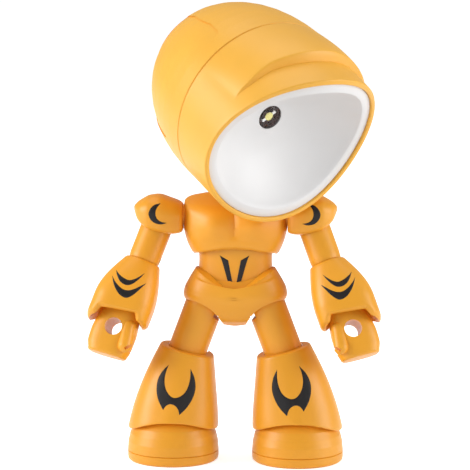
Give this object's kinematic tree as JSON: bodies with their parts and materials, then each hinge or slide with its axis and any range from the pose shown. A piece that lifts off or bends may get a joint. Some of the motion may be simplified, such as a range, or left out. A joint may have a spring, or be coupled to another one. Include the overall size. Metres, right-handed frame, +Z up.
{
  "type": "robot shaped desk lamp",
  "caption": "Small standing robot figure with posable limbs whose large domed head is a lamp with an open white reflector bowl and an LED.",
  "frame": {"origin": "on the floor under the centre of the outer box", "axes": "+Z up, the body faces -Y, the figure's left arm is at +X"},
  "size_m": [0.0834, 0.0676, 0.1317],
  "materials": {
    "head_plastic": "satin moulded plastic, warm yellow",
    "body_plastic": "satin moulded plastic, orange yellow",
    "reflector_white": "white, satin",
    "clear_lens": "clear moulded plastic",
    "phosphor": "LED package with yellow phosphor",
    "black_plastic": "matte black plastic",
    "cell_metal": "nickel-plated cell cans",
    "steel": "plated steel"
  },
  "bodies": {
    "pelvis": {"pelvis_front": "body_plastic", "pelvis_back": "body_plastic", "pelvis_screw": "steel", "abdomen": "body_plastic"},
    "torso": {"chest_front": "body_plastic", "chest_back": "body_plastic", "chest_screws": "steel"},
    "neck": {"neck_post": "black_plastic", "neck_screw": "steel"},
    "head": {"head_front_shell": "head_plastic", "head_rear_shell": "head_plastic", "reflector": "reflector_white", "light_lens": "clear_lens", "light_package": "phosphor", "light_board": "black_plastic", "board_screws": "steel", "battery_door": "head_plastic", "door_screw": "steel", "button_cells": "cell_metal", "cell_contact_plate": "steel", "cell_contact_leaf": "steel", "switch_unit": "black_plastic", "ball_retainer": "black_plastic", "retainer_screws": "steel"},
    "power_button": {"switch_button": "black_plastic"},
    "left_shoulder": {"left_shoulder_pad": "body_plastic", "left_shoulder_pin": "steel"},
    "left_upper_arm": {"left_upper_arm": "body_plastic", "left_elbow_pin": "steel"},
    "left_forearm": {"left_gauntlet": "body_plastic"},
    "left_hand": {"left_hand": "body_plastic"},
    "left_hip": {"left_hip_peg": "black_plastic"},
    "left_thigh": {"left_thigh": "body_plastic", "left_hip_pin": "steel", "left_knee_pin": "steel"},
    "left_shin": {"left_boot": "body_plastic"},
    "left_foot": {"left_foot": "body_plastic", "left_sole": "body_plastic", "left_ankle_pin": "steel"},
    "right_shoulder": {"right_shoulder_pad": "body_plastic", "right_shoulder_pin": "steel"},
    "right_upper_arm": {"right_upper_arm": "body_plastic", "right_elbow_pin": "steel"},
    "right_forearm": {"right_gauntlet": "body_plastic"},
    "right_hand": {"right_hand": "body_plastic"},
    "right_hip": {"right_hip_peg": "black_plastic"},
    "right_thigh": {"right_thigh": "body_plastic", "right_hip_pin": "steel", "right_knee_pin": "steel"},
    "right_shin": {"right_boot": "body_plastic"},
    "right_foot": {"right_foot": "body_plastic", "right_sole": "body_plastic", "right_ankle_pin": "steel"}
  },
  "joints": [
    {"name": "waist_twist", "type": "hinge", "parent": "pelvis", "child": "torso", "pos_m": [0, 0.011, 0.06037], "axis": [0, 0, 1], "range_deg": [-12, 12]},
    {"name": "neck_turn", "type": "hinge", "parent": "torso", "child": "neck", "pos_m": [0, 0.0095, 0.07757], "axis": [0, 0, 1], "range_deg": [-75, 0]},
    {"name": "head_nod", "type": "hinge", "parent": "neck", "child": "head", "pos_m": [0, 0.0095, 0.08597], "axis": [-0.8039, -0.5948, 0], "range_deg": [0, 35]},
    {"name": "button_press", "type": "slide", "parent": "head", "child": "power_button", "axis": [0.5479, -0.7405, -0.3891], "range_m": [0, 0.001], "stiffness_N_per_m": 900, "springref_m": -0.0008},
    {"name": "left_shoulder_swing", "type": "hinge", "parent": "torso", "child": "left_shoulder", "pos_m": [0.0212, 0.011, 0.07077], "axis": [-1, 0, 0], "range_deg": [-60, 50]},
    {"name": "left_shoulder_spread", "type": "hinge", "parent": "left_shoulder", "child": "left_upper_arm", "pos_m": [0.0212, 0.011, 0.07077], "axis": [0, -0.9511, 0.309], "range_deg": [-12, 8]},
    {"name": "left_elbow_bend", "type": "hinge", "parent": "left_upper_arm", "child": "left_forearm", "pos_m": [0.02568, 0.0072, 0.05907], "axis": [-0.9397, -0.1057, -0.3253], "range_deg": [0, 40]},
    {"name": "left_wrist_turn", "type": "hinge", "parent": "left_forearm", "child": "left_hand", "pos_m": [0.02568, 0.0072, 0.05907], "axis": [-0.342, 0.2904, 0.8937], "range_deg": [-90, 90]},
    {"name": "left_hip_swing", "type": "hinge", "parent": "pelvis", "child": "left_hip", "pos_m": [0.00895, 0.0092, 0.04487], "axis": [-1, 0, 0], "range_deg": [-26, 28]},
    {"name": "left_hip_spread", "type": "hinge", "parent": "left_hip", "child": "left_thigh", "pos_m": [0.00895, 0.0092, 0.04487], "axis": [0, -1, 0], "range_deg": [-6, 12]},
    {"name": "left_knee_bend", "type": "hinge", "parent": "left_thigh", "child": "left_shin", "pos_m": [0.01403, 0.0092, 0.03129], "axis": [0.9703, 0, 0.2419], "range_deg": [0, 60]},
    {"name": "left_ankle_tilt", "type": "hinge", "parent": "left_shin", "child": "left_foot", "pos_m": [0.01795, 0.0092, 0.0065], "axis": [-1, 0, 0], "range_deg": [-6, 6]},
    {"name": "right_shoulder_swing", "type": "hinge", "parent": "torso", "child": "right_shoulder", "pos_m": [-0.0212, 0.011, 0.07077], "axis": [-1, 0, 0], "range_deg": [-60, 50]},
    {"name": "right_shoulder_spread", "type": "hinge", "parent": "right_shoulder", "child": "right_upper_arm", "pos_m": [-0.0212, 0.011, 0.07077], "axis": [0, 0.9511, -0.309], "range_deg": [-12, 8]},
    {"name": "right_elbow_bend", "type": "hinge", "parent": "right_upper_arm", "child": "right_forearm", "pos_m": [-0.02568, 0.0072, 0.05907], "axis": [-0.9397, 0.1057, 0.3253], "range_deg": [0, 40]},
    {"name": "right_wrist_turn", "type": "hinge", "parent": "right_forearm", "child": "right_hand", "pos_m": [-0.02568, 0.0072, 0.05907], "axis": [-0.342, -0.2904, -0.8937], "range_deg": [-90, 90]},
    {"name": "right_hip_swing", "type": "hinge", "parent": "pelvis", "child": "right_hip", "pos_m": [-0.00895, 0.0092, 0.04487], "axis": [-1, 0, 0], "range_deg": [-26, 28]},
    {"name": "right_hip_spread", "type": "hinge", "parent": "right_hip", "child": "right_thigh", "pos_m": [-0.00895, 0.0092, 0.04487], "axis": [0, 1, 0], "range_deg": [-6, 12]},
    {"name": "right_knee_bend", "type": "hinge", "parent": "right_thigh", "child": "right_shin", "pos_m": [-0.01403, 0.0092, 0.03129], "axis": [0.9703, 0, -0.2419], "range_deg": [0, 60]},
    {"name": "right_ankle_tilt", "type": "hinge", "parent": "right_shin", "child": "right_foot", "pos_m": [-0.01795, 0.0092, 0.0065], "axis": [-1, 0, 0], "range_deg": [-6, 6]}
  ]
}
